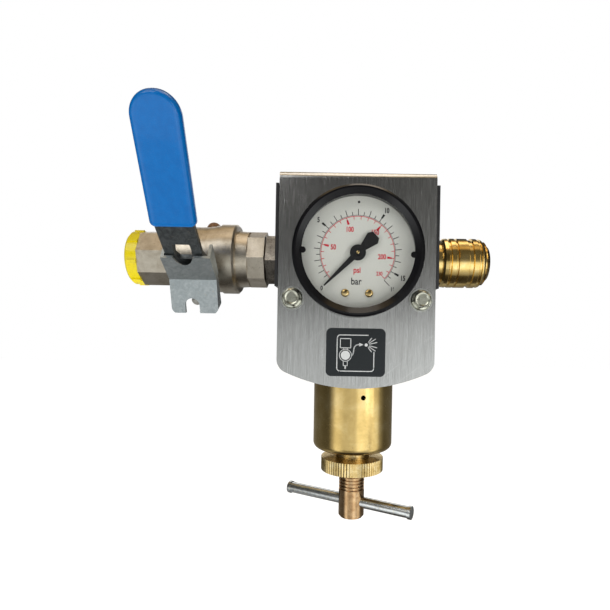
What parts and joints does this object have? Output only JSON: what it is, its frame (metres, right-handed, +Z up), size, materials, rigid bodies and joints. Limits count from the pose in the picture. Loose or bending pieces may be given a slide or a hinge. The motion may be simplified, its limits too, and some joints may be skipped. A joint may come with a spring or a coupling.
{
  "type": "flow control valve",
  "caption": "Wall-mounted compressed-air flow control unit: lockable ball valve, pressure regulator with dial gauge and quick-release coupler on a stainless panel.",
  "frame": {"origin": "centre line of the wall bracket's back face, at the height of the flow axis", "axes": "+X along the flow from the inlet to the outlet, +Y into the wall, +Z up"},
  "size_m": [0.193, 0.1078, 0.1956],
  "materials": {
    "stainless": "vertical brushed",
    "black_paint": "satin powder coat",
    "zinc_bolts": "yellowish zinc plate",
    "steel_washers": "zinc plate",
    "label": null,
    "regulator_casting": "satin",
    "bonnet_brass": "turned",
    "nut_brass": "knurled",
    "spindle_bronze": "turned, dull",
    "inner_brass": "machined",
    "spring_steel": "plain",
    "bar_steel": "zinc plate",
    "seal_rubber": "matte",
    "plate_aluminium": "machined",
    "gauge_black": "gloss black",
    "gauge_glass": "clear",
    "dial_white": "printed dial",
    "pointer_black": "matte",
    "nickel_brass": "cast, nickel plated, matte",
    "nipple_dark": "nickel plated",
    "bright_nickel": "polished",
    "ptfe": "smooth",
    "lever_steel": "dark zinc flake",
    "lock_steel": "light zinc flake",
    "grip_blue": "dipped vinyl",
    "sintered_bronze": "sintered, matte",
    "cap_yellow": "moulded",
    "coupler_brass": "turned",
    "sleeve_brass": "turned"
  },
  "bodies": {
    "valve_base": {"back_bracket": "black_paint", "front_panel": "stainless", "panel_bolts": "zinc_bolts", "panel_washers": "steel_washers", "label_plate": "label", "regulator_body": "regulator_casting", "bonnet": "bonnet_brass", "valve_seat": "inner_brass", "poppet_spring": "spring_steel", "top_plug": "regulator_casting", "plug_seal": "seal_rubber", "diaphragm": "seal_rubber", "adjusting_spring": "spring_steel", "gauge_case": "gauge_black", "gauge_bezel": "gauge_black", "gauge_lens": "gauge_glass", "gauge_dial": "dial_white", "dial_screws": "inner_brass", "gauge_socket": "inner_brass", "bourdon_tube": "inner_brass", "inlet_nipple": "nipple_dark", "valve_body": "nickel_brass", "valve_end": "nickel_brass", "ball_seats": "ptfe", "stem_seal": "seal_rubber", "stop_screw": "bright_nickel", "vent_plug": "sintered_bronze", "coupler_body": "coupler_brass", "coupler_balls": "bright_nickel", "coupler_spring": "spring_steel"},
    "handle": {"stem": "bright_nickel", "ball": "bright_nickel", "stem_nut": "bright_nickel", "lever": "lever_steel", "grip_sleeve": "grip_blue", "lock_plate": "lock_steel"},
    "button": {"spring_button": "inner_brass"},
    "spindle": {"spindle": "spindle_bronze"},
    "tee_bar": {"tee_bar": "bar_steel"},
    "lock_nut": {"lock_nut": "nut_brass"},
    "pointer": {"gauge_pointer": "pointer_black"},
    "sleeve": {"coupler_sleeve": "sleeve_brass"},
    "outlet_poppet": {"coupler_poppet": "inner_brass", "coupler_seal": "seal_rubber"},
    "regulating_plate": {"diaphragm_plate": "plate_aluminium"},
    "main_poppet": {"poppet": "seal_rubber"},
    "inlet_cap": {"inlet_cap": "cap_yellow"}
  },
  "joints": [
    {"name": "handle_turn", "type": "hinge", "parent": "valve_base", "child": "handle", "pos_m": [-0.0825, -0.028, 0], "axis": [0, -0.866, -0.5], "range_deg": [0, 90]},
    {"name": "adjust_travel", "type": "slide", "parent": "valve_base", "child": "button", "axis": [0, 0, 1], "range_m": [0, 0.0053], "deforming": ["adjusting_spring"]},
    {"name": "spindle_turn", "type": "hinge", "parent": "button", "child": "spindle", "pos_m": [0, -0.028, -0.1], "axis": [0, 0, 1], "range_deg": [0, 1080]},
    {"name": "tee_bar_slide", "type": "slide", "parent": "spindle", "child": "tee_bar", "axis": [0.8746, -0.4848, 0], "range_m": [-0.025, 0.031]},
    {"name": "lock_nut_turn", "type": "hinge", "parent": "valve_base", "child": "lock_nut", "pos_m": [0, -0.028, -0.11], "axis": [0, 0, 1], "range_deg": [-360, 0]},
    {"name": "pointer_turn", "type": "hinge", "parent": "valve_base", "child": "pointer", "pos_m": [0, -0.055, 0], "axis": [0, 1, 0], "range_deg": [0, 270]},
    {"name": "sleeve_slide", "type": "slide", "parent": "valve_base", "child": "sleeve", "axis": [-1, 0, 0], "range_m": [0, 0.003], "stiffness_N_per_m": 500, "springref_m": -0.003},
    {"name": "outlet_poppet_slide", "type": "slide", "parent": "valve_base", "child": "outlet_poppet", "axis": [-1, 0, 0], "range_m": [0, 0.003], "stiffness_N_per_m": 200, "springref_m": -0.003, "deforming": ["coupler_spring"]},
    {"name": "plate_lift", "type": "slide", "parent": "valve_base", "child": "regulating_plate", "axis": [0, 0, 1], "range_m": [0, 0.0012], "deforming": ["diaphragm"]},
    {"name": "poppet_lift", "type": "slide", "parent": "valve_base", "child": "main_poppet", "axis": [0, 0, 1], "range_m": [0, 0.0012], "deforming": ["poppet_spring"]},
    {"name": "inlet_cap_pull", "type": "slide", "parent": "valve_base", "child": "inlet_cap", "axis": [-1, 0, 0], "range_m": [0, 0.012]}
  ],
  "couplings": [
    {"joint": "adjust_travel", "follows": "spindle_turn", "m_per_rad": 0.00027852},
    {"joint": "poppet_lift", "follows": "plate_lift", "ratio": 1}
  ]
}
